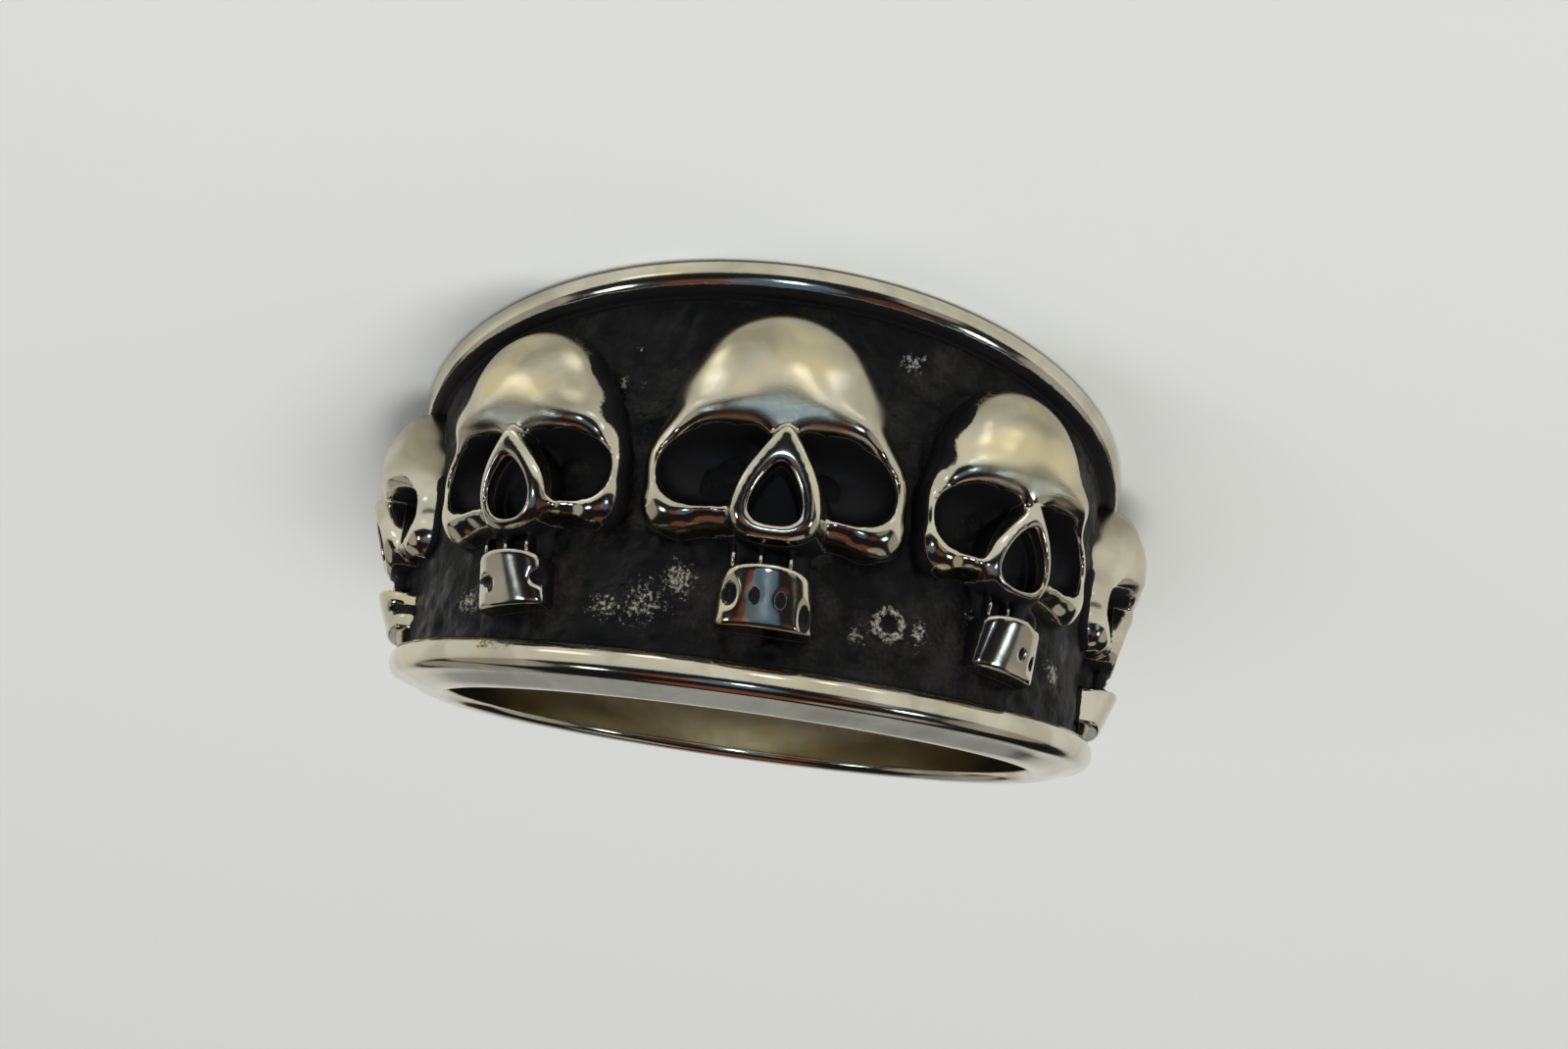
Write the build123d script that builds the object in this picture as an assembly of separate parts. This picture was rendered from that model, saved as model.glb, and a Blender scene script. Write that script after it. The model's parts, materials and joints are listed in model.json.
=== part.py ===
from build123d import *
from math import acos, atan, cos, degrees, radians, sin
import os

# Skull ring in steel, one casting: a wide crown that tapers to a plain shank, two polished rims
# round a sunk field, and five graduated skulls in relief. Lengths are in millimetres.
# It is drawn upright first: the bore runs along Z, the crown faces -Y and the skulls' tops
# point to +Z. Then it is turned over and laid on the side that the skulls' tops point to.

# Band
BORE_RADIUS = 9.9
FIELD_WALL = 1.5
RIM_RISE = 0.6
RIM_WIDTH = 1.22
CROWN_WIDTH = 14.9
SHANK_WIDTH = 5.0
FIELD_END_ANGLE = 118.0
FIELD_END_ROUND = 1.2
RIM_OUTER_ROUND = 0.5
RIM_INNER_ROUND = 0.3
BORE_ROUND = 0.35

# Skulls
SKULL_WIDTH = 8.3
SKULL_RELIEF = 2.45
SKULL_STEP_ANGLE = 45.0
MIDDLE_SKULL_GAP = 0.8
NEXT_SKULL_GAP = 0.6
SIDE_SKULL_GAP = 0.1
NOSE_RIM_WIDTH = 0.55
NOSE_HOLE_FLOOR = 1.1
TOOTH_PIT_RADIUS = 0.13
TEETH_ROUND = 0.25

# Lobes of one skull. Places and radii are shares: across of half SKULL_WIDTH, up of half
# SKULL_HEIGHT, out of SKULL_RELIEF. A paired lobe is repeated on the other side.
# Columns: place across, up, out, radius across, up, out, paired
LOBES = {
    "cranium": (0.0, 0.468, -0.12, 0.735, 0.532, 1.06, False),
    "brow": (0.0, 0.235, -0.12, 0.90, 0.215, 1.12, False),
    "face": (0.0, -0.09, -0.12, 0.93, 0.36, 0.90, False),
    "cheek_bar": (0.825, -0.06, -0.12, 0.17, 0.34, 0.66, True),
    "cheek_end": (0.80, -0.285, -0.12, 0.19, 0.145, 0.62, True),
    "upper_jaw": (0.0, -0.50, -0.12, 0.30, 0.19, 0.52, False),
}
SOCKETS = {
    "socket": (0.515, 0.008, 0.78, 0.345, 0.25, 0.62, True),
}
# The nose is a drop: its round foot's middle and radius, its point, and how far its two ends
# stand out, as the same shares
NOSE_MIDDLE_SHARE = -0.235
NOSE_ROUND_SHARE = 0.34
NOSE_POINT_SHARE = 0.185
NOSE_TOP_SHARE = 0.97
NOSE_FOOT_SHARE = 0.80
# Right half of the teeth's outline, and how far the two ends stand out. Columns: across, up
TEETH = ((0.26, -0.575), (0.36, -0.66), (0.39, -0.985))
TEETH_TOP_SHARE = 0.62
TEETH_FOOT_SHARE = 0.40
# Pits between the teeth. Columns: across, up
TOOTH_PITS = ((-0.26, -0.76), (0.0, -0.755), (0.26, -0.77))

FIELD_RADIUS = BORE_RADIUS + FIELD_WALL
RIM_RADIUS = FIELD_RADIUS + RIM_RISE
ROOT_RADIUS = FIELD_RADIUS - FIELD_WALL / 2
TAPER = (CROWN_WIDTH - SHANK_WIDTH) / (4 * RIM_RADIUS)
REST_TILT = atan(TAPER)
FIELD_END = -RIM_RADIUS * cos(radians(FIELD_END_ANGLE))
SKULL_HEIGHT = CROWN_WIDTH - 2 * RIM_WIDTH - 2 * MIDDLE_SKULL_GAP
HALF_WIDTH = SKULL_WIDTH / 2
HALF_HEIGHT = SKULL_HEIGHT / 2
REACH = 2 * (RIM_RADIUS + SKULL_RELIEF)
TOUCH = 0.001


def half_width(along):
    """Half the band's width at a distance from the bore's axis towards the shank."""
    return CROWN_WIDTH / 2 - TAPER * (along + RIM_RADIUS)


def side_prism(inset, end, end_round=0):
    """The band's side view, its edges moved in by inset, from the crown to end, run right through."""
    right = [(along, half_width(along) - inset) for along in (-REACH, end)]
    left = [(along, -up) for along, up in reversed(right)]
    face = make_face(Polyline(*right, *left, close=True))
    if end_round:
        face = fillet(face.vertices().group_by(Axis.X)[-1], end_round)
    return extrude(Plane.YZ * face, REACH, both=True)


def edges_at(body, radius, least, most):
    """The edges at a radius from the bore's axis whose distance from the band's sides is in a range."""
    found = []
    for edge in body.edges():
        middle = edge @ 0.5
        inset = half_width(middle.Y) - abs(middle.Z)
        off_radius = Vector(middle.X, middle.Y).length - radius
        if abs(off_radius) < TOUCH and least - TOUCH < inset < most + TOUCH:
            found.append(edge)
    return found


def band():
    """The hollow band with its two rims, its sunk field and its plain shank."""
    body = Cylinder(RIM_RADIUS, REACH) - Cylinder(BORE_RADIUS, REACH)
    body &= side_prism(0, REACH)
    body -= side_prism(RIM_WIDTH, FIELD_END, FIELD_END_ROUND) - Cylinder(FIELD_RADIUS, REACH)
    body = fillet(edges_at(body, RIM_RADIUS, 0, 0), RIM_OUTER_ROUND)
    body = fillet(edges_at(body, RIM_RADIUS, RIM_WIDTH, CROWN_WIDTH), RIM_INNER_ROUND)
    return fillet(edges_at(body, BORE_RADIUS, 0, 0), BORE_ROUND)


def lobe(across, up, out, radius_across, radius_up, radius_out):
    """An egg-shaped lobe of the master skull, from its shares. Outwards is -Y."""
    radii = (radius_across * HALF_WIDTH, radius_out * SKULL_RELIEF, radius_up * HALF_HEIGHT)
    return Pos(across * HALF_WIDTH, -out * SKULL_RELIEF, up * HALF_HEIGHT) * scale(Sphere(1), by=radii)


def lobes(table):
    """All lobes of a table, the paired ones on both sides."""
    made = []
    for across, *rest, paired in table.values():
        made += [lobe(side * across, *rest) for side in ((1, -1) if paired else (1,))]
    return made


def drop_outline(inset):
    """The nose's drop, its outline moved in by inset: a round foot and two straight sides."""
    middle = NOSE_MIDDLE_SHARE * HALF_HEIGHT
    lean = acos(NOSE_ROUND_SHARE * HALF_WIDTH / (NOSE_POINT_SHARE * HALF_HEIGHT - middle))
    radius = NOSE_ROUND_SHARE * HALF_WIDTH - inset
    across, up = radius * sin(lean), middle + radius * cos(lean)
    foot = ThreePointArc((across, up), (0, middle - radius), (-across, up))
    point = (0, middle + radius / cos(lean))
    return make_face([foot, Line(foot @ 1, point), Line(point, foot @ 0)])


def under_slope(low, low_out, high, high_out):
    """All that lies behind a slope that stands out by low_out at low and by high_out at high."""
    rise = (high_out - low_out) / (high - low)
    ends = [(-low_out - rise * (up - low), up) for up in (-HALF_HEIGHT, HALF_HEIGHT)]
    back = [(SKULL_RELIEF, up) for _, up in reversed(ends)]
    return extrude(Plane.YZ * make_face(Polyline(*ends, *back, close=True)), SKULL_WIDTH, both=True)


def nose():
    """The nose's raised drop, which slopes back towards its foot."""
    slope = under_slope(NOSE_MIDDLE_SHARE * HALF_HEIGHT, NOSE_FOOT_SHARE * SKULL_RELIEF,
                        NOSE_POINT_SHARE * HALF_HEIGHT, NOSE_TOP_SHARE * SKULL_RELIEF)
    return extrude(Plane.XZ * drop_outline(0), SKULL_RELIEF) & slope


def teeth():
    """The block of teeth, sloping back towards the skull's foot, with pits between the teeth."""
    right = [(across * HALF_WIDTH, up * HALF_HEIGHT) for across, up in TEETH]
    left = [(-across, up) for across, up in reversed(right)]
    outline = make_face(Polyline(*right, *left, close=True))
    block = extrude(Plane.XZ.offset(ROOT_RADIUS - FIELD_RADIUS) * outline, SKULL_RELIEF)
    block &= under_slope(right[-1][1], TEETH_FOOT_SHARE * SKULL_RELIEF,
                         right[0][1], TEETH_TOP_SHARE * SKULL_RELIEF)
    block = fillet(block.faces().sort_by(Axis.Y)[0].edges(), TEETH_ROUND)
    floor = Plane.XZ.offset(TEETH_FOOT_SHARE * SKULL_RELIEF)
    for across, up in TOOTH_PITS:
        pit = Cylinder(TOOTH_PIT_RADIUS, SKULL_RELIEF, align=(Align.CENTER, Align.CENTER, Align.MIN))
        block -= floor * Pos(across * HALF_WIDTH, up * HALF_HEIGHT) * pit
    return block


def skull():
    """The master skull, upright at the origin with its root behind it and its face to -Y."""
    head = Part() + lobes(LOBES)
    head -= lobes(SOCKETS)
    head += nose()
    head -= extrude(Plane.XZ.offset(NOSE_HOLE_FLOOR) * drop_outline(NOSE_RIM_WIDTH), SKULL_RELIEF)
    return head + teeth()


def skull_scale(angle, gap):
    """The size of a skull at an angle from the crown's middle that leaves a gap to each rim."""
    along = -FIELD_RADIUS * cos(radians(angle))
    return 2 * (half_width(along) - RIM_WIDTH - gap) / SKULL_HEIGHT


def skulls():
    """The five skulls round the crown, the middle one largest, their roots inside the band's wall."""
    master = skull()
    made = []
    for place, gap in enumerate((MIDDLE_SKULL_GAP, NEXT_SKULL_GAP, SIDE_SKULL_GAP)):
        angle = place * SKULL_STEP_ANGLE
        seated = Pos(0, -FIELD_RADIUS, 0) * scale(master, by=skull_scale(angle, gap))
        seated -= Cylinder(ROOT_RADIUS, REACH)
        made += [Rot(0, 0, turn) * seated for turn in sorted({angle, -angle})]
    return made


def ring():
    """The whole casting, upright."""
    body = band()
    for head in skulls():
        body += head
    return body


def at_rest(body):
    """The ring turned over and laid on its side, the floor at Z 0, its box's foot at the origin."""
    laid = Rot(-degrees(REST_TILT), 0, 0) * Rot(0, 180, 0) * body
    box = laid.bounding_box()
    return Pos(-box.center().X, -box.center().Y, -box.min.Z) * laid


os.makedirs("parts", exist_ok=True)
export_step(at_rest(ring()), "parts/skull_band.step")
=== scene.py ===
"""Skull ring in cast steel, lying on its side on a pale floor.

The ring is modelled upright in millimetres, with its bore along Z, its crown towards -Y and the
skulls' tops towards +Z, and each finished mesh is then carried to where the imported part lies.
"""

import json
import logging
from dataclasses import dataclass, field
from enum import Enum
from math import atan2, cos, pi, radians, sin, tan
from typing import Callable, Iterable, Optional, Union

import bpy
import numpy as np
from mathutils import Matrix, Vector


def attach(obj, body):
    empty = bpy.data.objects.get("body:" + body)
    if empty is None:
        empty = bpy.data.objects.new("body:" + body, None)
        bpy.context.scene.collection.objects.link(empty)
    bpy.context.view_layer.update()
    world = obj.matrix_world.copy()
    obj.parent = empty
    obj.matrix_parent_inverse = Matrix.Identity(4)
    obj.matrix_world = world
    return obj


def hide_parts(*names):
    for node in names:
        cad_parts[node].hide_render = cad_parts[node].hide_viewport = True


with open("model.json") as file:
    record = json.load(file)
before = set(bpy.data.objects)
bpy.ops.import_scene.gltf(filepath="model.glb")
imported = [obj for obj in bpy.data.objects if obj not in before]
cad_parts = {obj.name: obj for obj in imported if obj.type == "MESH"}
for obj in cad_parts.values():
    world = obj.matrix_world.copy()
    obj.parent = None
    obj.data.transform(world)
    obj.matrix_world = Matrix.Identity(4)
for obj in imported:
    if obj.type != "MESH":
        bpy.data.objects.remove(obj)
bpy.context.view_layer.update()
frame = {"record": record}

log = logging.getLogger("skull_ring")

MM = 0.001
BODY = "root"
NODE = "skull_band"
PICTURE_WIDTH = 1600
PICTURE_HEIGHT = 1070
BESIDE = -9.0


class Seat:
    """Where the upright ring lies on the floor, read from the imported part's bore."""

    def __init__(self, record: dict) -> None:
        """Read the bore.

        Args:
            record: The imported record.
        """
        bore = next(m for m in record["mounts"] if m["name"] == "finger_bore")
        self.centre = Vector(bore["pos_m"])
        axis = Vector(bore["axis"])
        self.tilt = atan2(axis.y, axis.z)
        self.bore_radius = bore["dims"]["r_mm"]

    def matrix(self) -> Matrix:
        """Carry the upright ring, in millimetres, to its place, in metres.

        Returns:
            The matrix.
        """
        laid = Matrix.Rotation(-self.tilt, 4, "X") @ Matrix.Rotation(pi, 4, "Y")
        return Matrix.Translation(self.centre) @ laid @ Matrix.Scale(MM, 4)


class Bench:
    """The maker's bench: adding, joining, cutting and smoothing meshes by operators."""

    @staticmethod
    def clear() -> None:
        """Deselect everything."""
        if bpy.context.object and bpy.context.object.mode != "OBJECT":
            bpy.ops.object.mode_set(mode="OBJECT")
        bpy.ops.object.select_all(action="DESELECT")

    @staticmethod
    def pick(*pieces: bpy.types.Object) -> None:
        """Select these pieces alone and make the first the active one.

        Args:
            pieces: The pieces.
        """
        Bench.clear()
        for piece in pieces:
            piece.select_set(True)
        bpy.context.view_layer.objects.active = pieces[0]

    @staticmethod
    def settle(piece: bpy.types.Object) -> bpy.types.Object:
        """Put a piece's place, turn and size into its mesh.

        Args:
            piece: The piece.

        Returns:
            The same piece.
        """
        Bench.pick(piece)
        bpy.ops.object.transform_apply(location=True, rotation=True, scale=True)
        return piece

    @staticmethod
    def egg(place: Iterable[float], radii: Iterable[float], lean: float = 0.0) -> bpy.types.Object:
        """Add an egg-shaped lump.

        Args:
            place: Its middle.
            radii: Its radii along X, Y and Z.
            lean: Its turn about Y, in degrees.

        Returns:
            The lump.
        """
        Bench.clear()
        bpy.ops.mesh.primitive_uv_sphere_add(segments=64, ring_count=32, radius=1, location=tuple(place),
                                             rotation=(0, radians(lean), 0), scale=tuple(radii))
        return Bench.settle(bpy.context.object)

    @staticmethod
    def join(pieces: list, name: str) -> bpy.types.Object:
        """Join pieces into one.

        Args:
            pieces: The pieces.
            name: The name of what they make.

        Returns:
            The joined piece.
        """
        Bench.pick(*pieces)
        if len(pieces) > 1:
            bpy.ops.object.join()
        joined = bpy.context.object
        joined.name = name
        joined.data.name = name
        return joined

    @staticmethod
    def modify(piece: bpy.types.Object, kind: str, **settings: object) -> bpy.types.Object:
        """Add a modifier and apply it.

        Args:
            piece: The piece.
            kind: The modifier's type.
            settings: Its settings.

        Returns:
            The same piece.
        """
        Bench.pick(piece)
        bpy.ops.object.modifier_add(type=kind)
        modifier = piece.modifiers[-1]
        for key, value in settings.items():
            setattr(modifier, key, value)
        bpy.ops.object.modifier_apply(modifier=modifier.name)
        return piece

    @staticmethod
    def fuse(piece: bpy.types.Object, voxel: float, softening: int) -> bpy.types.Object:
        """Fuse a piece's overlapping lumps into one skin and soften it.

        Args:
            piece: The piece.
            voxel: The new skin's grain.
            softening: How often it is smoothed.

        Returns:
            The same piece.
        """
        Bench.modify(piece, "REMESH", mode="VOXEL", voxel_size=voxel)
        if softening:
            Bench.modify(piece, "SMOOTH", factor=0.5, iterations=softening)
        return piece

    @staticmethod
    def carve(piece: bpy.types.Object, tool: bpy.types.Object) -> bpy.types.Object:
        """Cut a tool out of a piece and remove the tool.

        Args:
            piece: The piece.
            tool: The tool, a mesh of triangles.

        Returns:
            The same piece.
        """
        Bench.modify(piece, "BOOLEAN", operation="DIFFERENCE", object=tool, solver="EXACT")
        Bench.discard(tool)
        return piece

    @staticmethod
    def copy(piece: bpy.types.Object) -> bpy.types.Object:
        """Copy a piece, with a mesh of its own.

        Args:
            piece: The piece.

        Returns:
            The copy.
        """
        made = piece.copy()
        made.data = piece.data.copy()
        bpy.context.scene.collection.objects.link(made)
        return made

    @staticmethod
    def discard(*pieces: bpy.types.Object) -> None:
        """Remove pieces and their meshes.

        Args:
            pieces: The pieces.
        """
        for piece in pieces:
            mesh = piece.data
            bpy.data.objects.remove(piece)
            bpy.data.meshes.remove(mesh)

    @staticmethod
    def points(piece: bpy.types.Object) -> np.ndarray:
        """List a piece's vertices.

        Args:
            piece: The piece.

        Returns:
            An array with a row for each vertex.
        """
        flat = np.zeros(len(piece.data.vertices) * 3)
        piece.data.vertices.foreach_get("co", flat)
        return flat.reshape(-1, 3)

    @staticmethod
    def places(piece: bpy.types.Object) -> tuple:
        """List where an upright piece's vertices lie.

        Args:
            piece: The piece.

        Returns:
            How far across, how far out and how far up each one is.
        """
        x, y, z = Bench.points(piece).T
        return x, -y, z

    @staticmethod
    def mould(piece: bpy.types.Object, press: Callable[[np.ndarray], np.ndarray]) -> bpy.types.Object:
        """Move a piece's vertices by a rule.

        Args:
            piece: The piece.
            press: The rule, from the old places to the new ones.

        Returns:
            The same piece.
        """
        Bench.clear()
        piece.data.vertices.foreach_set("co", press(Bench.points(piece)).ravel())
        piece.data.update()
        return piece

    @staticmethod
    def soften(piece: bpy.types.Object, weight: np.ndarray, times: int) -> bpy.types.Object:
        """Smooth a part of a piece.

        Args:
            piece: The piece.
            weight: How much each vertex takes part.
            times: How often it is smoothed.

        Returns:
            The same piece.
        """
        group = piece.vertex_groups.new(name="soft")
        for index in np.nonzero(weight > 0.02)[0]:
            group.add([int(index)], float(weight[index]), "REPLACE")
        Bench.modify(piece, "SMOOTH", factor=0.5, iterations=times, vertex_group="soft")
        piece.vertex_groups.clear()
        return piece

    @staticmethod
    def note(piece: bpy.types.Object, name: str, values: np.ndarray) -> None:
        """Write a value for each vertex as an attribute of the mesh.

        Args:
            piece: The piece.
            name: The attribute's name.
            values: The values.
        """
        layer = piece.data.attributes.new(name, "FLOAT", "POINT")
        layer.data.foreach_set("value", values.astype(np.float32))

    @staticmethod
    def face_out(piece: bpy.types.Object) -> bpy.types.Object:
        """Merge a piece's doubles and point its faces outwards.

        Args:
            piece: The piece.

        Returns:
            The same piece.
        """
        Bench.pick(piece)
        bpy.ops.object.mode_set(mode="EDIT")
        bpy.ops.mesh.select_all(action="SELECT")
        bpy.ops.mesh.remove_doubles(threshold=0.0005)
        bpy.ops.mesh.normals_make_consistent(inside=False)
        bpy.ops.object.mode_set(mode="OBJECT")
        return piece


def ease(low: float, high: float, values: np.ndarray) -> np.ndarray:
    """Rise smoothly from 0 at low to 1 at high.

    Args:
        low: Where the rise starts.
        high: Where it ends.
        values: The values.

    Returns:
        The eased values.
    """
    share = np.clip((values - low) / (high - low), 0, 1)
    return share * share * (3 - 2 * share)


def over_field(across: np.ndarray, out: np.ndarray, radius: float) -> np.ndarray:
    """How far places stand over a field of a radius that curves away from the flat one."""
    return out + across ** 2 / (2 * radius)


def light_disk(name: str, place: Vector, width: float, brightness: float) -> bpy.types.Object:
    """Add a round lamp that glows evenly and that the camera doesn't see.

    Args:
        name: Its name.
        place: Its middle.
        width: Its width.
        brightness: How bright its face is.

    Returns:
        The lamp.
    """
    Bench.clear()
    bpy.ops.object.light_add(type="AREA", location=place)
    lamp = bpy.context.object
    lamp.name = name
    lamp.data.shape = "DISK"
    lamp.data.size = width
    lamp.data.energy = brightness * pi * pi * width * width / 4
    lamp.visible_camera = False
    return lamp


def finish_piece(piece: bpy.types.Object, seat: Matrix, material: bpy.types.Material) -> None:
    """Carry a piece to its place, dress it and let it ride.

    Args:
        piece: The piece, upright and in millimetres.
        seat: The matrix that lays it down.
        material: Its finish.
    """
    piece.data.transform(seat)
    piece.data.update()
    Bench.pick(piece)
    bpy.ops.object.shade_smooth()
    piece.data.materials.clear()
    piece.data.materials.append(material)
    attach(piece, BODY)
    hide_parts(NODE)
    log.info("%s: %d faces", piece.name, len(piece.data.polygons))


Value = Union["Wire", float, tuple]


class Wire:
    """A socket that takes part in Python arithmetic."""

    def __init__(self, shader: "Shader", socket: bpy.types.NodeSocket) -> None:
        """Wrap a socket of a shader."""
        self.shader = shader
        self.socket = socket

    def _with(self, operation: str, other: Value, flipped: bool = False) -> "Wire":
        """Add a Math node on this and another value, which comes first where it is flipped."""
        pair = (other, self) if flipped else (self, other)
        return self.shader.node("ShaderNodeMath", {"operation": operation}, *pair)

    def __add__(self, other: Value) -> "Wire":
        """Add."""
        return self._with("ADD", other)

    __radd__ = __add__

    def __sub__(self, other: Value) -> "Wire":
        """Subtract."""
        return self._with("SUBTRACT", other)

    def __rsub__(self, other: Value) -> "Wire":
        """Subtract from a number."""
        return self._with("SUBTRACT", other, True)

    def __mul__(self, other: Value) -> "Wire":
        """Multiply."""
        return self._with("MULTIPLY", other)

    __rmul__ = __mul__


class Shader:
    """A material's node tree and the ways to add to it."""

    def __init__(self, name: str) -> None:
        """Start a material with a Principled shader.

        Args:
            name: The material's name.
        """
        self.material = bpy.data.materials.new(name)
        self.material.use_nodes = True
        self.tree = self.material.node_tree
        self.surface = self.tree.nodes["Principled BSDF"]
        place = self.tree.nodes.new("ShaderNodeTexCoord")
        self.place = Wire(self, place.outputs["Object"])

    def node(self, kind: str, settings: Optional[dict] = None, *values: Value, output: int = 0,
             **named: Value) -> Wire:
        """Add a node.

        Args:
            kind: The node's type.
            settings: Its settings, set first.
            values: Values or links of its sockets in order.
            output: Which of its outputs is wanted.
            named: Values or links of its sockets by name, with _ for a space.

        Returns:
            The output.
        """
        made = self.tree.nodes.new(kind)
        for key, value in (settings or {}).items():
            setattr(made, key, value)
        sockets = {key.replace("_", " "): value for key, value in named.items()}
        for slot, value in [*enumerate(values), *sockets.items()]:
            self.join(value, made.inputs[slot])
        return Wire(self, made.outputs[output])

    def join(self, value: Value, socket: bpy.types.NodeSocket) -> None:
        """Link a wire to a socket, or set the socket's own value.

        Args:
            value: The wire or the value.
            socket: The socket.
        """
        if isinstance(value, Wire):
            self.tree.links.new(value.socket, socket)
        elif isinstance(value, tuple) and len(value) == 3 and socket.type == "RGBA":
            socket.default_value = (*value, 1)
        else:
            socket.default_value = value

    def set(self, **sockets: Value) -> None:
        """Set the surface's sockets by name, with _ for a space."""
        for key, value in sockets.items():
            self.join(value, self.surface.inputs[key.replace("_", " ")])

    def noise(self, scale: float, detail: float = 4.0, rough: float = 0.55, warp: float = 0.0) -> Wire:
        """Noise of a scale, in turns per metre."""
        return self.node("ShaderNodeTexNoise", None, Vector=self.place, Scale=scale, Detail=detail,
                         Roughness=rough, Distortion=warp)

    def note(self, name: str) -> Wire:
        """A value that was written on the mesh."""
        return self.node("ShaderNodeAttribute", {"attribute_name": name}, output=2)

    def step(self, value: Wire, low: float, high: float) -> Wire:
        """Rise smoothly from 0 at low to 1 at high."""
        return self.node("ShaderNodeMapRange", {"interpolation_type": "SMOOTHSTEP"}, Value=value,
                         From_Min=low, From_Max=high)

    def blend(self, share: Wire, first: Value, second: Value) -> Wire:
        """Blend two colours.

        Args:
            share: The second one's share.
            first: The first colour.
            second: The second colour.

        Returns:
            The blend.
        """
        made = self.tree.nodes.new("ShaderNodeMix")
        made.data_type = "RGBA"
        for slot, value in ((0, share), (6, first), (7, second)):
            self.join(value, made.inputs[slot])
        return Wire(self, made.outputs[2])

    def bump(self, height: Wire, strength: float, distance: float) -> Wire:
        """Turn a height into a bent normal."""
        return self.node("ShaderNodeBump", None, Height=height, Strength=strength, Distance=distance)


@dataclass(frozen=True)
class SteelFinish:
    """Polished cast steel that keeps its black patina in the recesses, with painted darker and uneven
    reflections on its polish. Scales are in turns per metre.
    """

    name: str = "polished_steel_with_patina"
    steel: tuple = (0.73, 0.69, 0.56)
    # Painted shade: the darker steel tone that stands in for uneven and darker reflections.
    shaded_steel: tuple = (0.36, 0.33, 0.225)
    amber: tuple = (0.76, 0.64, 0.34)
    patina: tuple = (0.011, 0.010, 0.011)
    gloss: float = 0.12
    patina_rough: float = 0.48
    patina_metal: float = 0.55
    drift_scale: float = 1100
    crumb_scale: float = 7800
    # Scale of the random patches of painted uneven reflection.
    dimming_scale: float = 420
    amber_scale: float = 480
    dent_scale: float = 1300
    grain_scale: float = 22000
    dent_depth: float = 0.00003

    def material(self) -> bpy.types.Material:
        """Build the material.

        Returns:
            The material.
        """
        shader = Shader(self.name)
        drift = shader.noise(self.drift_scale, 3.0)
        crumbs = shader.noise(self.crumb_scale, 5.0, 0.75)
        soot = shader.note("soot") + (drift - 0.5) * 0.5 + (crumbs - 0.5) * 0.9
        mask = shader.step(soot, 0.42, 0.6)
        satin = shader.note("satin")
        # Painted reflection: random dull patches stand in for uneven reflections, and the painted darker
        # reflection note darkens the crowns and right temples.
        painted_dimming = shader.step(shader.noise(self.dimming_scale, 3.0, 0.55, 0.6), 0.35, 0.68) * 0.5
        painted_dimming = painted_dimming + shader.note("tarnish") * 0.7
        warm = shader.noise(self.amber_scale, 2.0, 0.5) + shader.note("gold") * 0.2
        warm = shader.step(warm, 0.48, 0.84) * 0.7
        metal = shader.blend(warm, shader.blend(painted_dimming, self.steel, self.shaded_steel), self.amber)
        rough = self.gloss + painted_dimming * 0.06 + satin * 0.12
        shader.set(Base_Color=shader.blend(mask, metal, self.patina),
                   Metallic=1 - mask * (1 - self.patina_metal),
                   Roughness=rough + mask * (self.patina_rough - self.gloss))
        grain = shader.noise(self.grain_scale, 2.0) * (satin * 1.1 + mask * 0.7 + 0.03)
        dents = shader.noise(self.dent_scale, 2.0) * 0.45 + grain
        shader.set(Normal=shader.bump(dents, 0.35, self.dent_depth))
        return shader.material


@dataclass(frozen=True)
class FieldFinish:
    """The black, rough ground between the rims, with its worn specks. Scales are in turns per metre."""

    name: str = "oxidised_field"
    black: tuple = (0.0016, 0.0016, 0.0018)
    brown: tuple = (0.018, 0.015, 0.0115)
    worn: tuple = (0.56, 0.535, 0.43)
    worn_metal: float = 0.95
    sheen: float = 0.22
    rough: float = 0.62
    cloud_scale: float = 420
    crumb_scale: float = 6800
    rub_scale: float = 700
    dent_scale: float = 900
    grain_scale: float = 5200
    dent_depth: float = 0.00016

    def material(self) -> bpy.types.Material:
        """Build the material.

        Returns:
            The material.
        """
        shader = Shader(self.name)
        cloud = shader.noise(self.cloud_scale, 4.0)
        crumbs = shader.noise(self.crumb_scale, 7.0, 0.72)
        worn = shader.note("worn") * 0.68 + (crumbs - 0.5) * 2.6 + (cloud - 0.5) * 0.6
        speck = shader.step(worn, 0.5, 0.95)
        dust = shader.step(cloud + (crumbs - 0.5) * 0.5, 0.48, 0.7)
        ground = shader.blend(dust, self.black, self.brown)
        rubbed = shader.step(shader.noise(self.rub_scale, 3.0), 0.45, 0.7)
        shader.set(Base_Color=shader.blend(speck, ground, self.worn),
                   Metallic=speck * self.worn_metal, Specular_IOR_Level=self.sheen,
                   Roughness=self.rough - rubbed * 0.28 - speck * 0.1)
        relief = shader.noise(self.dent_scale, 3.0, 0.55) * 1.2 + shader.noise(self.grain_scale, 2.0) * 0.16
        shader.set(Normal=shader.bump(relief, 1.0, self.dent_depth))
        return shader.material


@dataclass(frozen=True)
class FloorFinish:
    """A plain pale table."""

    name: str = "pale_table"
    tone: tuple = (0.735, 0.745, 0.715)
    mottled: tuple = (0.70, 0.70, 0.665)
    mottle_scale: float = 9
    rough: float = 0.8

    def material(self) -> bpy.types.Material:
        """Build the material.

        Returns:
            The material.
        """
        shader = Shader(self.name)
        mottle = shader.noise(self.mottle_scale, 2.0) * 0.2
        shader.set(Base_Color=shader.blend(mottle, self.tone, self.mottled), Roughness=self.rough)
        return shader.material


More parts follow.
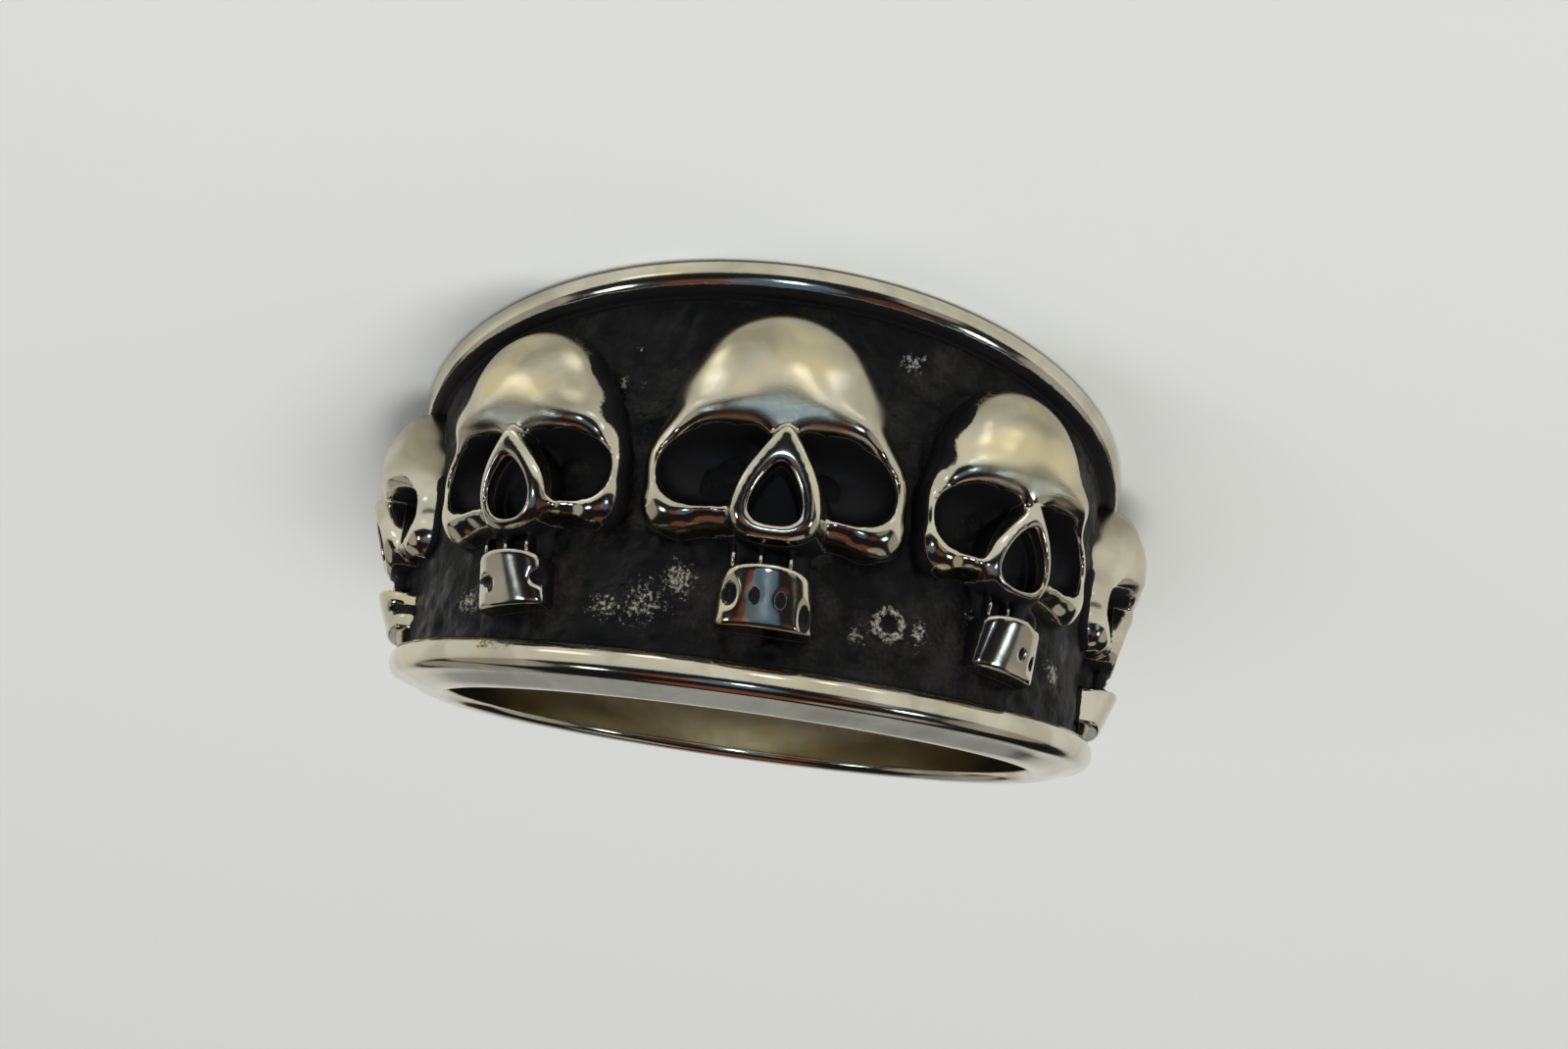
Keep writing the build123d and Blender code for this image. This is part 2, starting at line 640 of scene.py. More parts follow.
@dataclass
class Band:
    """The band: its bore, its two rims, the sunk field between them and the plain shank."""

    bore_radius: float
    field_radius: float = 11.4
    groove_radius: float = 11.2
    groove_step: float = 0.25
    rim_radius: float = 12.0
    rim_width: float = 1.16
    crown_width: float = 14.9
    shank_width: float = 5.0
    shank_sink: float = 0.02
    least_wall: float = 0.8
    field_end: float = 118.0
    field_fade: float = 5.0
    outer_round: float = 0.48
    inner_round: float = 0.58
    side_start: float = 10.5
    side_end: float = 11.2
    chin_slope: float = 0.38
    chin_radii: tuple = (11.6, 10.5)
    chin_insets: tuple = (1.2, 0.2)
    bore_round: float = 0.35
    turns: int = 360
    upper_bank: float = 0.92
    lower_bank: float = 1.08
    bank_blur: float = 0.08
    pitted_angles: tuple = (-56.0, -46.0, -34.0)
    pitted_insets: tuple = (0.45, 0.8)
    pitted_share: float = 0.5

    def __post_init__(self) -> None:
        """Work out the taper."""
        self.taper = (self.crown_width - self.shank_width) / (4 * self.rim_radius)

    def half_width(self, along: np.ndarray) -> np.ndarray:
        """Half the band's width at a distance from the bore's axis towards the shank."""
        return self.crown_width / 2 - self.taper * (along + self.rim_radius)

    @staticmethod
    def corner(radius: float, inset: float, size: float, start: float, stop: float, steps: int) -> list:
        """Draw a round corner of the section.

        Args:
            radius: Its middle's distance from the bore's axis.
            inset: Its middle's distance from the band's side.
            size: Its own radius.
            start: The angle that it starts at.
            stop: The angle that it stops at.
            steps: How many points it has.

        Returns:
            Pairs of radius and inset.
        """
        turns = np.linspace(radians(start), radians(stop), steps)
        return [(radius + size * cos(turn), inset - size * sin(turn)) for turn in turns]

    def profile(self) -> list:
        """Draw one half of the band's section at the crown, from the bore's middle to the field.

        Returns:
            Pairs of radius and inset from the band's side.
        """
        lip, edge, bore_lip = self.outer_round, self.inner_round, self.bore_round
        middle = self.crown_width / 2
        bore = [(self.bore_radius, inset) for inset in np.linspace(middle, bore_lip, 10)[:-1]]
        bore += self.corner(self.bore_radius + bore_lip, bore_lip, bore_lip, 180, 90, 7)
        side = [(radius, 0.0) for radius in np.linspace(self.side_start, self.side_end, 3)]
        rim = self.corner(self.rim_radius - lip, lip, lip, 90, 0, 10)
        rim += self.corner(self.rim_radius - edge, self.rim_width - edge, edge, 0, -90, 7)
        foot = [(self.groove_radius + self.groove_step, self.rim_width),
                (self.groove_radius, self.rim_width + 0.05)]
        return bore + side + rim + foot

    def section_mesh(self, name: str, points: list) -> bpy.types.Object:
        """Add a closed section in the XZ plane, drawn as an edge chain by extruding a vertex.

        Args:
            name: The piece's name.
            points: Pairs of radius and height.

        Returns:
            The section.
        """
        Bench.clear()
        bpy.ops.mesh.primitive_plane_add(size=1)
        piece = bpy.context.object
        piece.name = name
        bpy.ops.object.mode_set(mode="EDIT")
        bpy.ops.mesh.select_all(action="SELECT")
        bpy.ops.mesh.merge(type="CENTER")
        x, z = points[0]
        bpy.ops.transform.translate(value=(x, 0, z))
        for (x0, z0), (x1, z1) in zip(points, points[1:]):
            bpy.ops.mesh.extrude_vertices_move(TRANSFORM_OT_translate={"value": (x1 - x0, 0, z1 - z0)})
        bpy.ops.mesh.select_all(action="DESELECT")
        bpy.ops.object.mode_set(mode="OBJECT")
        ends = piece.data.vertices
        ends[0].select = True
        ends[len(ends) - 1].select = True
        bpy.ops.object.mode_set(mode="EDIT")
        bpy.ops.mesh.edge_face_add()
        bpy.ops.object.mode_set(mode="OBJECT")
        return piece

    def turn(self, piece: bpy.types.Object) -> bpy.types.Object:
        """Spin a section round the bore's axis into a closed ring.

        Args:
            piece: The section.

        Returns:
            The ring.
        """
        Bench.pick(piece)
        bpy.ops.object.mode_set(mode="EDIT")
        bpy.ops.mesh.select_all(action="SELECT")
        bpy.ops.mesh.spin(steps=self.turns, angle=2 * pi, center=(0, 0, 0), axis=(0, 0, 1))
        bpy.ops.object.mode_set(mode="OBJECT")
        return Bench.face_out(piece)

    def tapered(self, points: np.ndarray) -> np.ndarray:
        """Give a straight ring the band's taper and close the field behind its end.

        Args:
            points: Places with the crown's width all round.

        Returns:
            The places on the band.
        """
        x, y, z = points.T
        radius = np.hypot(x, y)
        angle = np.degrees(np.abs(np.arctan2(x, -y)))
        inset = self.crown_width / 2 - np.abs(z)
        closed = ease(self.field_end - self.field_fade, self.field_end + self.field_fade, angle)
        sunk = (radius > self.bore_radius + self.least_wall) & (inset > self.rim_width / 2)
        full = self.rim_radius - self.shank_sink
        radius = np.where(sunk, radius + (full - radius) * closed, radius)
        x, y = radius * np.sin(np.arctan2(x, -y)), -radius * np.cos(np.arctan2(x, -y))
        half = self.half_width(y)
        inner = np.maximum(inset - self.rim_width, 0)
        room = self.crown_width / 2 - self.rim_width
        tight = np.minimum(inset, self.rim_width) + inner / room * (half - self.rim_width)
        height = np.sign(z) * (half - tight)
        lip = ease(*self.chin_radii, radius) * ease(*self.chin_insets, inset) * (z < 0)
        return np.stack([x, y, height - self.chin_slope * lip], 1)

    def soot(self, points: np.ndarray) -> np.ndarray:
        """Where the patina stays: on the rims' inner sides and in the lower rim's pits.

        Args:
            points: Places on the band.

        Returns:
            A share for each place.
        """
        x, y, z = points.T
        turn = np.degrees(np.arctan2(x, -y))
        inset = self.half_width(y) - np.abs(z)
        edge = np.where(z > 0, self.upper_bank, self.lower_bank)
        bank = ease(edge - self.bank_blur, edge + self.bank_blur, inset)
        start, middle, stop = self.pitted_angles
        pits = ease(start, middle, turn) * ease(stop, middle, turn)
        pits *= ease(*self.pitted_insets, inset) * (z < 0)
        crown = ease(self.field_end + 1, self.field_end - 4, np.abs(turn))
        crown *= np.hypot(x, y) > self.bore_radius + self.least_wall
        return np.maximum(bank, self.pitted_share * pits) * crown

    def build(self) -> list:
        """Build the whole band as one closed ring.

        Returns:
            The band, in a list.
        """
        half = [(radius, self.crown_width / 2 - inset) for radius, inset in self.profile()]
        across = [(self.groove_radius, z) for z in np.linspace(half[-1][1], 0, 8)[1:]]
        upper = half + across
        lower = [(radius, -z) for radius, z in reversed(upper[:-1])]
        section = self.section_mesh("band", upper + lower[:-1])
        ring = Bench.mould(self.turn(section), self.tapered)
        Bench.note(ring, "soot", self.soot(Bench.points(ring)))
        return [ring]


@dataclass
class Field:
    """The sunk ground between the rims, a cast sheet with dents and grain. A place on it is an angle
    from the crown's middle, in degrees, and a height over the ring's middle plane."""

    band: Band
    end: float = 121.0
    end_sink: float = 0.5
    overlap: float = 0.06
    sheet: float = 0.3
    along: int = 460
    across: int = 106
    seed: int = 7
    swells: tuple = ((2.6, 0.05), (0.9, 0.045), (0.36, 0.022))
    dimples: int = 260
    dimple_depths: tuple = (-0.09, 0.07)
    worn: tuple = (
        (-20.5, -4.3, 5.5, 1.0), (-15.0, -3.6, 3.2, 0.75), (-26.5, -4.6, 4.2, 0.6),
        (-27.0, 4.3, 0.7, 0.14), (-25.5, 3.1, 0.7, 0.16), (21.0, 5.2, 0.7, 0.14),
        (15.0, -4.6, 2.0, 0.35), (25.7, -4.05, 1.6, 0.55), (-57.0, -3.9, 5.0, 0.5),
        (59.0, -3.4, 4.0, 0.4), (19.0, 4.9, 2.6, 0.45), (-29.0, 3.1, 2.0, 0.4), (37.0, -3.0, 3.0, 0.4),
    )
    crater: tuple = (20.3, -4.0)
    crater_ring: float = 0.42
    crater_rise: float = 0.14
    crater_depth: float = 0.12
    stud: tuple = (1.16, -5.68)
    stud_radius: float = 0.3
    stud_rise: float = 0.34

    def off(self, spot: tuple, angle: np.ndarray, height: np.ndarray) -> np.ndarray:
        """How far places lie from a spot, along the ground."""
        return np.hypot(np.radians(angle - spot[0]) * self.band.field_radius, height - spot[1])

    @staticmethod
    def swell(dice: np.random.Generator, spacing: float, around: np.ndarray,
              height: np.ndarray) -> np.ndarray:
        """Make soft swells by easing between random knots.

        Args:
            dice: The dice.
            spacing: The knots' distance.
            around: Places round the ground.
            height: Their heights.

        Returns:
            The swell at each place.
        """
        rows = int(60 / spacing)
        knots = dice.normal(size=(rows, rows))
        u, v = (around + 28) / spacing, (height + 8) / spacing
        iu, iv = np.floor(u).astype(int), np.floor(v).astype(int)
        fu, fv = (u - iu) ** 2 * (3 - 2 * (u - iu)), (v - iv) ** 2 * (3 - 2 * (v - iv))
        left, right, foot, top = iu % rows, (iu + 1) % rows, iv % rows, (iv + 1) % rows
        low = knots[left, foot] * (1 - fu) + knots[right, foot] * fu
        high = knots[left, top] * (1 - fu) + knots[right, top] * fu
        return low * (1 - fv) + high * fv

    def relief(self, angle: np.ndarray, height: np.ndarray) -> np.ndarray:
        """How far the ground stands out at its places.

        Args:
            angle: Their angles.
            height: Their heights.

        Returns:
            The relief.
        """
        dice = np.random.default_rng(self.seed)
        around = np.radians(angle) * self.band.field_radius
        total = np.zeros_like(around)
        for spacing, depth in self.swells:
            total += depth * self.swell(dice, spacing, around, height)
        for _ in range(self.dimples):
            u, v = dice.uniform(-23, 23), dice.uniform(-6.3, 6.3)
            wide, tall = dice.uniform(0.12, 0.3), dice.uniform(0.2, 0.7)
            near = ((around - u) / wide) ** 2 + ((height - v) / tall) ** 2
            total += dice.choice(self.dimple_depths) * np.exp(-near)
        away = self.off(self.crater, angle, height)
        total += self.crater_rise * np.exp(-((away - self.crater_ring) / 0.17) ** 2)
        total -= self.crater_depth * np.exp(-(away / 0.3) ** 2)
        away = self.off(self.stud, angle, height)
        return total + self.stud_rise * ease(1.4 * self.stud_radius, 0.5 * self.stud_radius, away)

    def wear(self, angle: np.ndarray, height: np.ndarray) -> np.ndarray:
        """How far the patina is worn off at the ground's places.

        Args:
            angle: Their angles.
            height: Their heights.

        Returns:
            A share for each place.
        """
        share = np.zeros_like(angle)
        for turn, up, wide, tall in self.worn:
            share = np.maximum(share, np.exp(-((angle - turn) / wide) ** 2 - ((height - up) / tall) ** 2))
        away = self.off(self.crater, angle, height)
        return np.maximum(share, 1.05 * np.exp(-((away - 0.45) / 0.22) ** 2))

    def build(self) -> list:
        """Build the ground.

        Returns:
            The ground, in a list.
        """
        Bench.clear()
        bpy.ops.mesh.primitive_grid_add(x_subdivisions=self.along, y_subdivisions=self.across, size=2)
        piece = bpy.context.object
        piece.name = "field"
        places = Bench.points(piece)
        angle = places[:, 0] * self.end
        turn = np.radians(angle)
        room = self.band.half_width(-self.band.field_radius * np.cos(turn)) - self.band.rim_width
        height = places[:, 1] * (room + self.overlap)
        edge = ease(0, 0.08, 1 - np.abs(places[:, 1]))
        radius = self.band.field_radius + self.relief(angle, height) * edge
        radius -= self.end_sink * ease(self.end - 8, self.end - 2, np.abs(angle))
        laid = np.stack([radius * np.sin(turn), -radius * np.cos(turn), height], 1)
        Bench.note(piece, "worn", self.wear(angle, height))
        Bench.mould(piece, lambda old: laid)
        Bench.modify(piece, "SOLIDIFY", thickness=self.sheet, offset=-1.0)
        return [Bench.face_out(piece)]


@dataclass(frozen=True)
class Lump:
    """One lump of a skull: its middle, its radii, its lean in degrees, whether it is paired, its
    radius below its middle where that is another one, and how square and how steep it is."""

    across: float
    up: float
    out: float
    wide: float
    tall: float
    deep: float
    lean: float = 0.0
    paired: bool = False
    below: float = 0.0
    square: float = 2.0
    steep: float = 2.0

    def sides(self) -> tuple:
        """The sides that the lump is on."""
        return (1, -1) if self.paired else (1,)

    def build(self) -> list:
        """Add the lump, and its mirror image where it is paired.

        Returns:
            The lumps.
        """
        made = []
        for side in self.sides():
            egg = Bench.egg((0, 0, 0), (1, 1, 1))
            made.append(Bench.mould(egg, lambda points: self.press(points, side)))
        return made

    def press(self, points: np.ndarray, side: int) -> np.ndarray:
        """Shape a round ball to the lump.

        Args:
            points: Places on the ball.
            side: Which of its sides the lump is on.

        Returns:
            The places on the lump.
        """
        x, y, z = points.T
        flat = np.hypot(x, z)
        ux = np.where(flat > 1e-6, x / np.maximum(flat, 1e-6), 1.0)
        uz = np.where(flat > 1e-6, z / np.maximum(flat, 1e-6), 0.0)
        reach = (np.abs(ux) ** self.square + np.abs(uz) ** self.square) ** (-1 / self.square)
        reach = reach * (1 - np.minimum(np.abs(y), 1) ** self.steep) ** (1 / self.steep)
        lx, lz = ux * reach * self.wide, uz * reach * self.tall
        lz = np.where(lz < 0, lz * (self.below or self.tall) / self.tall, lz)
        turn = radians(side * self.lean)
        across = side * self.across + lx * cos(turn) + lz * sin(turn)
        up = self.up - lx * sin(turn) + lz * cos(turn)
        return np.stack([across, y * self.deep - self.out, up], 1)

    def skin(self, across: np.ndarray, up: np.ndarray) -> np.ndarray:
        """How far out the lump's skin stands over a place, or BESIDE where it is beside the lump.

        Args:
            across: The places across.
            up: The places up.

        Returns:
            The distances out.
        """
        best = np.full_like(across, BESIDE)
        for side in self.sides():
            turn = radians(side * self.lean)
            dx, dz = across - side * self.across, up - self.up
            lx, lz = dx * cos(turn) - dz * sin(turn), dx * sin(turn) + dz * cos(turn)
            tall = np.where(lz < 0, self.below or self.tall, self.tall)
            flat = np.abs(lx / self.wide) ** self.square + np.abs(lz / tall) ** self.square
            flat = flat ** (1 / self.square)
            room = np.maximum(1 - flat ** self.steep, 0)
            out = self.out + self.deep * room ** (1 / self.steep)
            best = np.where(flat < 1, np.maximum(best, out), best)
        return best


@dataclass(frozen=True)
class Cut:
    """A cut in a skull, shaped like an egg: its middle, its radii and its lean in degrees."""

    across: float
    up: float
    out: float
    wide: float
    tall: float
    lean: float = 0.0
    deep: float = 0.45

    def build(self) -> bpy.types.Object:
        """Add the tool that makes the cut."""
        return Bench.egg((self.across, -self.out, self.up), (self.wide, self.deep, self.tall), self.lean)

    def away(self, across: np.ndarray, up: np.ndarray, margin: float) -> np.ndarray:
        """How far places lie from its middle, squared, as shares of its radii and a margin."""
        wide, tall = self.wide + margin, self.tall + margin
        return ((across - self.across) / wide) ** 2 + ((up - self.up) / tall) ** 2


@dataclass(frozen=True)
class Face:
    """What differs from one cast skull to the next. The hole is how far the nose's hole is set in,
    the point and the foot are how far the nose's ends stand out, the slide is how far its root is
    moved across, and the bevel is how wide its slanting side is."""

    hole: float
    point: float
    foot: float
    slide: float
    bevel: float
    nose_wide: float
    nose_top: float
    nose_belly: float
    cuts: tuple
    added: tuple = ()


class Cast(Enum):
    """The casts of the skull that the row is made of."""

    MIDDLE = Face(
        hole=0.68, point=2.62, foot=1.85, slide=0.42, bevel=0.27,
        nose_wide=1.52, nose_top=1.06, nose_belly=-1.76,
        cuts=(Cut(-1.18, -4.4, 1.15, 0.24, 0.4), Cut(-0.36, -4.45, 1.74, 0.18, 0.28),
              Cut(0.48, -4.5, 1.68, 0.17, 0.26), Cut(1.3, -4.85, 1.0, 0.18, 0.46)))
    LEFT = Face(
        hole=0.62, point=2.7, foot=1.5, slide=0.1, bevel=0.42,
        nose_wide=1.5, nose_top=1.06, nose_belly=-1.4,
        cuts=(Cut(-0.85, -4.42, 1.4, 0.45, 0.1, 12), Cut(-0.62, -4.62, 1.65, 0.15, 0.28, 20),
              Cut(-0.8, -4.52, 1.5, 0.2, 0.18), Cut(1.45, -4.4, 0.95, 0.4, 0.24, -10)))
    RIGHT = Face(
        hole=0.55, point=2.2, foot=1.4, slide=-0.2, bevel=0.4,
        nose_wide=1.56, nose_top=1.0, nose_belly=-1.65,
        cuts=(Cut(0.72, -3.2, 1.4, 0.32, 0.36), Cut(0.35, -4.55, 1.5, 0.12, 0.24),
              Cut(1.05, -4.7, 1.2, 0.12, 0.26)),
        added=(Lump(0.7, -3.15, 0.35, 0.75, 0.7, 0.95),))


@dataclass(frozen=True)
class Patina:
    """Where the patina on a skull fades, in millimetres but for the shares and the cuts' edge. A pair
    is where it starts and where it is full, and round the teeth's roots where it is rubbed off."""

    hollow_depth: tuple = (0.15, 0.42)
    nose_edge: tuple = (-0.3, -0.15)
    nose_out: tuple = (0.9, 1.3)
    hole_edge: tuple = (0.0, 0.12)
    hole_depth: tuple = (0.42, 0.7)
    foot: float = 0.12
    cheek_foot: float = 0.42
    cheek_up: tuple = (1.8, 1.0)
    cheek_across: tuple = (3.0, 3.6)
    under_top: tuple = (-2.05, -2.4)
    under_foot: tuple = (-3.7, -3.45)
    under_out: tuple = (1.45, 1.2)
    under_across: tuple = (2.1, 1.6)
    root_across: tuple = (0.09, 0.03)
    root_out: tuple = (0.9, 1.0)
    root_up: tuple = (-2.95, -3.1)
    cut_margin: float = 0.06
    cut_edge: tuple = (1.15, 0.45)
    cut_share: float = 0.72


@dataclass(frozen=True)
class Polish:
    """Where a skull's steel is painted darker to stand in for darker reflections, where it is golden and
    where it is satin.
    A pair is where that starts and where it is full, in millimetres."""

    crown_up: tuple = (2.4, 4.0)
    temple_across: tuple = (0.6, 2.6)
    temple_up: tuple = (1.0, 2.0)
    temple_share: float = 0.8
    gold_foot: tuple = (1.7, 2.4)
    gold_top: tuple = (3.9, 3.0)
    gold_across: tuple = (2.8, 1.0)
    gold_middle: float = -0.2
    brow_foot: tuple = (0.9, 1.4)
    brow_top: tuple = (3.0, 2.0)
    brow_across: tuple = (3.2, 1.8)
    brow_middle: float = -0.3
    over_brow: tuple = (1.2, 2.2)
    over_share: float = 0.5

    def tarnish(self, across: np.ndarray, up: np.ndarray) -> np.ndarray:
        """Painted darker reflection: the steel is darkened over the crown of the head and down its right
        temple, standing in for darker reflections there.
        """
        # Painted shade in the reflection: darker over the crown, and down the right temple.
        temple = self.temple_share * ease(*self.temple_across, across) * ease(*self.temple_up, up)
        return np.maximum(ease(*self.crown_up, up), temple)

    def gold(self, across: np.ndarray, up: np.ndarray) -> np.ndarray:
        """Where the steel has a golden tint: in a patch on the forehead."""
        patch = ease(*self.gold_foot, up) * ease(*self.gold_top, up)
        return patch * ease(*self.gold_across, np.abs(across - self.gold_middle))

    def satin(self, across: np.ndarray, up: np.ndarray) -> np.ndarray:
        """Where the polish is satin: along the brow, and less so over it.

        Args:
            across: The places across.
            up: The places up.

        Returns:
            A share for each place.
        """
        brow = ease(*self.brow_foot, up) * ease(*self.brow_top, up)
        brow *= ease(*self.brow_across, np.abs(across - self.brow_middle))
        return np.maximum(brow, self.over_share * ease(*self.over_brow, up))


@dataclass
class Skull:
    """The master skull, upright on a flat field at the origin with its face to -Y."""

    cast: Cast = Cast.MIDDLE
    field_radius: float = 11.4
    voxel: float = 0.062
    root: float = -1.35
    lumps: dict = field(default_factory=lambda: {
        "cranium": Lump(0.0, 2.4, -0.15, 3.1, 3.05, 2.35, steep=2.7),
        "temple": Lump(2.1, 2.1, -0.15, 1.45, 1.5, 1.85, 24.0, True),
        "forehead": Lump(0.0, 2.6, 0.3, 2.6, 2.2, 2.2, steep=2.2),
        "brow": Lump(1.2, 1.85, 0.42, 2.4, 1.0, 2.1, 12.0, True),
        "mask": Lump(0.0, -0.3, -0.3, 4.26, 4.2, 2.4, below=1.8),
        "arch": Lump(3.3, -0.3, -0.15, 0.98, 1.7, 1.05, 3.0, True, steep=2.5),
        "cheek": Lump(3.46, -1.25, -0.2, 0.86, 1.15, 1.1, 0.0, True),
        "cheek_foot": Lump(3.0, -1.6, -0.2, 1.15, 0.85, 1.2, 0.0, True),
        "maxilla": Lump(1.75, -1.4, -0.35, 1.9, 0.9, 1.6, 0.0, True),
        "jaw": Lump(0.0, -2.8, -0.25, 1.4, 1.3, 0.85),
    })
    socket: Lump = Lump(2.18, -0.26, 2.0, 1.93, 1.32, 2.2, 8.0, True, square=2.3, steep=3.2)
    corner: Lump = Lump(1.02, 0.5, 1.9, 0.78, 0.62, 1.5, -6.0, True, steep=3.0)
    patina: Patina = Patina()
    polish: Polish = Polish()
    dome_round: int = 160
    brow_round: int = 190
    lip_round: int = 90
    nose_foot: float = -2.71
    nose_lean: float = 0.06
    nose_belly: float = 0.72
    nose_waist: float = 0.5
    point_inset: float = 1.75
    foot_inset: float = 0.85
    hole_lift: float = 0.4
    hole_below: float = 0.1
    hole_share: float = 0.8
    hollow_share: float = 0.98
    nose_root: float = -0.5
    roots: tuple = (-1.15, -0.27, 0.7)
    teeth_up: float = -4.4
    teeth_tall: float = 0.98
    teeth_wide: float = 1.46
    teeth_flare: float = 0.16
    teeth_out: float = 1.78
    teeth_slope: float = 0.72
    teeth_square: float = 0.55
    teeth_arch: float = 0.12
    teeth_bevel: float = 0.16

    def __post_init__(self) -> None:
        """Take the nose's size from the cast."""
        self.face = self.cast.value
        self.nose_middle = self.face.nose_belly
        self.nose_up = self.face.nose_top - self.nose_middle
        self.nose_down = self.nose_middle - self.nose_foot

    def head(self) -> bpy.types.Object:
        """Model the head with its sockets, before its nose and teeth.

        Returns:
            The head.
        """
        lumps = [lump for row in self.lumps.values() for lump in row.build()]
        head = Bench.fuse(Bench.join(lumps, "skull"), self.voxel * 1.3, 40)
        up = Bench.points(head)[:, 2]
        Bench.soften(head, ease(0.9, 1.7, up) * ease(4.6, 3.6, up), self.dome_round)
        plugs = Bench.fuse(Bench.join([*self.socket.build(), *self.corner.build()], "plugs"), self.voxel, 12)
        Bench.carve(head, Bench.modify(plugs, "TRIANGULATE"))
        Bench.fuse(head, self.voxel, 5)
        across, out, up = Bench.places(head)
        brow = ease(0.3, 0.7, up) * ease(3.4, 2.6, up) * ease(0.5, 0.9, out)
        temple = 0.3 * ease(2.9, 3.3, np.abs(across)) * ease(0.2, 0.5, out) * (up < 3)
        Bench.soften(head, np.maximum(brow, temple), self.brow_round)
        return head

    def drop(self, front: float, back: float, top: float, foot: float, depth: float = 9.0,
             slide: float = 0.0, point: float = 0.0) -> bpy.types.Object:
        """Model a drop like the nose's as a block.

        Args:
            front: How far the outline is moved in at its front.
            back: How far it is moved in at its back.
            top: How far out its point stands.
            foot: How far out its round foot stands.
            depth: How far its back lies behind its front, at most down to the band's wall.
            slide: How far its back is moved across.
            point: How many times as far its point is moved in, where that is another number.

        Returns:
            The block.
        """
        Bench.clear()
        bpy.ops.mesh.primitive_cylinder_add(vertices=96, radius=1, depth=1, rotation=(pi / 2, 0, 0))
        block = Bench.settle(bpy.context.object)

        def press(points: np.ndarray) -> np.ndarray:
            """Shape the round block to the drop.

            Args:
                points: Places on the round block.

            Returns:
                The places on the drop.
            """
            x, y, z = points.T
            inset = np.where(y < 0, front, back)
            up = self.nose_up - inset * (point or self.point_inset)
            down = self.nose_down - inset * self.foot_inset
            rise = np.where(z > 0, z * up, z * down)
            full = np.sign(x) * np.abs(x) ** np.where(z < 0, self.nose_belly, 1.0)
            across = full * (self.face.nose_wide - inset) * (1 - self.nose_waist * np.maximum(z, 0) ** 2)
            across += np.where(y < 0, 0, slide)
            share = (rise + self.nose_down) / (self.nose_up + self.nose_down)
            slope = foot + (top - foot) * share
            out = np.where(y < 0, slope, np.maximum(slope - depth, self.nose_root))
            return np.stack([across + self.nose_lean * rise, -out, self.nose_middle + rise], 1)

        Bench.mould(block, press)
        return Bench.modify(block, "TRIANGULATE")

    def in_drop(self, across: np.ndarray, up: np.ndarray, inset: float) -> np.ndarray:
        """How far places lie inside the nose's outline.

        Args:
            across: The places across.
            up: The places up.
            inset: How far the outline is moved in.

        Returns:
            The distances, below zero outside it.
        """
        rise = up - self.nose_middle
        above, below = self.nose_up - inset * self.point_inset, self.nose_down - inset * self.foot_inset
        z = np.clip(rise / np.where(rise > 0, above, below), -1, 1)
        full = np.sqrt(1 - z * z) ** np.where(z < 0, self.nose_belly, 1.0)
        wide = (self.face.nose_wide - inset) * (1 - self.nose_waist * np.maximum(z, 0) ** 2) * full
        return wide - np.abs(across - self.nose_lean * rise)

    def nose(self) -> list:
        """Model the nose: a slanting front on a block that reaches down into the head.

        Returns:
            Its two blocks.
        """
        face = self.face
        deep = face.bevel * 1.1
        return [self.drop(face.bevel, 0.0, face.point, face.foot, deep, point=0.6),
                self.drop(0.0, 0.0, face.point - deep, face.foot - deep, slide=face.slide)]

    def nose_hole(self) -> bpy.types.Object:
        """Model the tool that cuts the nose's hole.

        Returns:
            The tool.
        """
        face, lift = self.face, self.hole_lift
        depth = face.foot + self.hole_below
        return self.drop(face.hole, face.hole, face.point + lift, face.foot + lift, depth)

    def teeth(self) -> bpy.types.Object:
        """Model the teeth as a block with a rounded front that leans back towards its foot.

        Returns:
            The block.
        """
        Bench.clear()
        bpy.ops.mesh.primitive_cylinder_add(vertices=96, radius=1, depth=2)
        block = bpy.context.object
        Bench.modify(block, "BEVEL", width=self.teeth_bevel, segments=4, limit_method="ANGLE",
                     angle_limit=radians(50))

        def press(points: np.ndarray) -> np.ndarray:
            """Shape the round block to the teeth.

            Args:
                points: Places on the round block.

            Returns:
                The places on the teeth.
            """
            x, y, z = points.T
            foot = (1 - z) / 2
            across = x * (self.teeth_wide + self.teeth_flare * foot)
            out = np.sign(y) * np.abs(y) ** self.teeth_square * (self.teeth_out - self.teeth_slope * foot)
            up = self.teeth_up + z * self.teeth_tall - self.teeth_arch * x * x * (1 - foot)
            return np.stack([across, out, up], 1)

        Bench.mould(block, press)
        return Bench.modify(block, "TRIANGULATE")

    def build(self, head: bpy.types.Object) -> bpy.types.Object:
        """Build the master skull.

        Args:
            head: The head, which becomes the skull.

        Returns:
            The skull.
        """
        face = self.face
        roots = [Bench.egg((across, -0.8, -3.1), (0.1, 0.36, 0.5)) for across in self.roots]
        added = [piece for lump in face.added for piece in lump.build()]
        head = Bench.join([head, *self.nose(), self.teeth(), *roots, *added], "skull")
        Bench.fuse(head, self.voxel, 2)
        Bench.carve(head, self.nose_hole())
        cuts = Bench.fuse(Bench.join([cut.build() for cut in face.cuts], "cuts"), self.voxel * 0.7, 2)
        Bench.carve(head, Bench.modify(cuts, "TRIANGULATE"))
        Bench.fuse(head, self.voxel, 2)
        across, out, up = Bench.places(head)
        lip = ease(-0.55, -0.25, self.in_drop(across, up, 0.0)) * ease(0.8, 1.1, out)
        lip *= ease(self.nose_up - 0.05, self.nose_up - 0.5, up - self.nose_middle) * (up > -2.85)
        for cut in face.cuts:
            lip = np.maximum(lip, 0.5 * ease(1.3, 0.8, cut.away(across, up, 0.12)))
        Bench.soften(head, lip, self.lip_round)
        return self.dress(self.trim(head))

